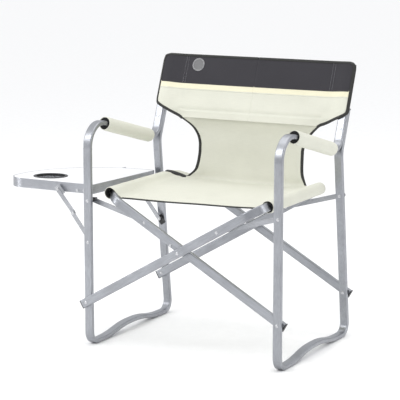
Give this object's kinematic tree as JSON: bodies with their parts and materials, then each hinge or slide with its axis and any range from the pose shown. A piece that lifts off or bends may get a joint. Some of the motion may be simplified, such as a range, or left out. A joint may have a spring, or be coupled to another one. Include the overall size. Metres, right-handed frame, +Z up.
{
  "type": "folding director chair",
  "caption": "Folding director chair: bent flat-tube side frames, crossed seat rails, sling seat and back, padded arms and a fold-down side table with a cup holder.",
  "frame": {"origin": "on the floor, under the middle of the object's bounding box, side table included", "axes": "+Z up, -Y to the front, +X away from the side table"},
  "size_m": [0.9266, 0.5264, 0.8039],
  "materials": {
    "tube_aluminium": "satin",
    "bar_aluminium": "satin",
    "rivet_metal": "satin",
    "black_plastic": "matt",
    "table_white": "satin",
    "cup_mesh": "open net",
    "cloth_cream": "woven"
  },
  "bodies": {
    "left_side": {"left_side_frame": "tube_aluminium", "left_post_rivets": "rivet_metal", "left_frame_plugs": "black_plastic", "left_arm_pad": "cloth_cream", "left_back_sleeve": "cloth_cream", "left_pivot_rivets": "rivet_metal", "left_pivot_bushes": "black_plastic", "left_link_rivets": "rivet_metal", "left_link_bushes": "black_plastic", "brace_leg_rivets": "rivet_metal", "brace_leg_bushes": "black_plastic"},
    "right_side": {"right_side_frame": "tube_aluminium", "right_post_rivets": "rivet_metal", "right_frame_plugs": "black_plastic", "right_arm_pad": "cloth_cream", "right_back_sleeve": "cloth_cream", "right_pivot_rivets": "rivet_metal", "right_pivot_bushes": "black_plastic", "right_link_rivets": "rivet_metal", "right_link_bushes": "black_plastic"},
    "right_seat_frame": {"right_seat_rail": "tube_aluminium", "right_rail_plugs": "black_plastic", "right_seat_sleeve": "cloth_cream", "right_rail_rivets": "rivet_metal"},
    "left_seat_frame": {"left_seat_rail": "tube_aluminium", "left_rail_plugs": "black_plastic", "left_seat_sleeve": "cloth_cream", "left_rail_rivets": "rivet_metal", "crossing_rivets": "rivet_metal", "crossing_bushes": "black_plastic", "stop_stud": "rivet_metal", "back_gusset": "cloth_cream"},
    "left_links": {"left_link_bars": "bar_aluminium", "left_link_studs": "rivet_metal"},
    "right_links": {"right_link_bars": "bar_aluminium", "right_link_studs": "rivet_metal", "right_link_bush": "black_plastic"},
    "seat_left": {"seat_left_panel": "cloth_cream"},
    "seat_right": {"seat_right_panel": "cloth_cream"},
    "back_left": {"back_left_panel": "cloth_cream"},
    "back_right": {"back_right_panel": "cloth_cream"},
    "table": {"table_rim": "bar_aluminium", "table_board": "table_white", "cup_ring": "black_plastic", "cup_mesh": "cup_mesh", "table_brackets": "bar_aluminium", "bracket_rivets": "rivet_metal", "brace_bushes": "black_plastic", "brace_top_rivets": "rivet_metal"},
    "brace_upper": {"brace_upper_bars": "bar_aluminium"},
    "brace_lower": {"brace_lower_bars": "bar_aluminium", "brace_knee_studs": "rivet_metal"}
  },
  "joints": [
    {"name": "fold", "type": "hinge", "parent": "left_side", "child": "right_seat_frame", "pos_m": [-0.1573, -0.03995, 0.13], "axis": [0, -1, 0], "range_deg": [0, 40]},
    {"name": "crossing", "type": "hinge", "parent": "right_seat_frame", "child": "left_seat_frame", "pos_m": [0.1427, -0.03995, 0.303], "axis": [0, 1, 0], "range_deg": [0, 86.03], "deforming": ["back_gusset"]},
    {"name": "right_pivot", "type": "hinge", "parent": "left_seat_frame", "child": "right_side", "pos_m": [0.4427, -0.03995, 0.13], "axis": [0, -1, 0], "range_deg": [0, 40.01]},
    {"name": "left_link_pivot", "type": "hinge", "parent": "left_side", "child": "left_links", "pos_m": [-0.1573, -0.03995, 0.423], "axis": [0, -1, 0], "range_deg": [0, 79.09]},
    {"name": "right_link_pivot", "type": "hinge", "parent": "right_side", "child": "right_links", "pos_m": [0.4427, -0.03995, 0.423], "axis": [0, 1, 0], "range_deg": [0, 79.09]},
    {"name": "seat_left_drop", "type": "hinge", "parent": "left_seat_frame", "child": "seat_left", "pos_m": [-0.1033, -0.03995, 0.44486], "axis": [0, 1, 0], "range_deg": [0, 27.31], "deforming": ["seat_left_panel"]},
    {"name": "seat_right_drop", "type": "hinge", "parent": "right_seat_frame", "child": "seat_right", "pos_m": [0.3887, -0.03995, 0.44486], "axis": [0, -1, 0], "range_deg": [0, 27.31], "deforming": ["seat_right_panel"]},
    {"name": "back_left_fold", "type": "hinge", "parent": "left_side", "child": "back_left", "pos_m": [-0.1573, 0.16705, 0.6166], "axis": [0, 0.3746, 0.9272], "range_deg": [0, 63.81], "deforming": ["back_left_panel"]},
    {"name": "back_right_fold", "type": "hinge", "parent": "right_side", "child": "back_right", "pos_m": [0.4427, 0.16705, 0.6166], "axis": [0, -0.3746, -0.9272], "range_deg": [0, 63.81], "deforming": ["back_right_panel"]},
    {"name": "table_fold", "type": "hinge", "parent": "left_side", "child": "table", "pos_m": [-0.1573, -0.03995, 0.423], "axis": [0, -1, 0], "range_deg": [0, 90]},
    {"name": "brace_upper_pivot", "type": "hinge", "parent": "table", "child": "brace_upper", "pos_m": [-0.2713, -0.03995, 0.445], "axis": [0, -1, 0], "range_deg": [0, 61.74]},
    {"name": "brace_lower_pivot", "type": "hinge", "parent": "left_side", "child": "brace_lower", "pos_m": [-0.1573, -0.03995, 0.303], "axis": [0, -1, 0], "range_deg": [-13.94, 0]}
  ],
  "couplings": [
    {"joint": "crossing", "follows": "fold", "ratio": 2.1505},
    {"joint": "right_pivot", "follows": "fold", "ratio": 1},
    {"joint": "left_link_pivot", "follows": "fold", "ratio": 1.977},
    {"joint": "right_link_pivot", "follows": "fold", "ratio": 1.977},
    {"joint": "seat_left_drop", "follows": "fold", "ratio": 0.6825},
    {"joint": "seat_right_drop", "follows": "fold", "ratio": 0.6825},
    {"joint": "back_left_fold", "follows": "fold", "ratio": 1.595},
    {"joint": "back_right_fold", "follows": "fold", "ratio": 1.595},
    {"joint": "brace_upper_pivot", "follows": "table_fold", "ratio": 0.6859},
    {"joint": "brace_lower_pivot", "follows": "table_fold", "ratio": -0.1548}
  ]
}
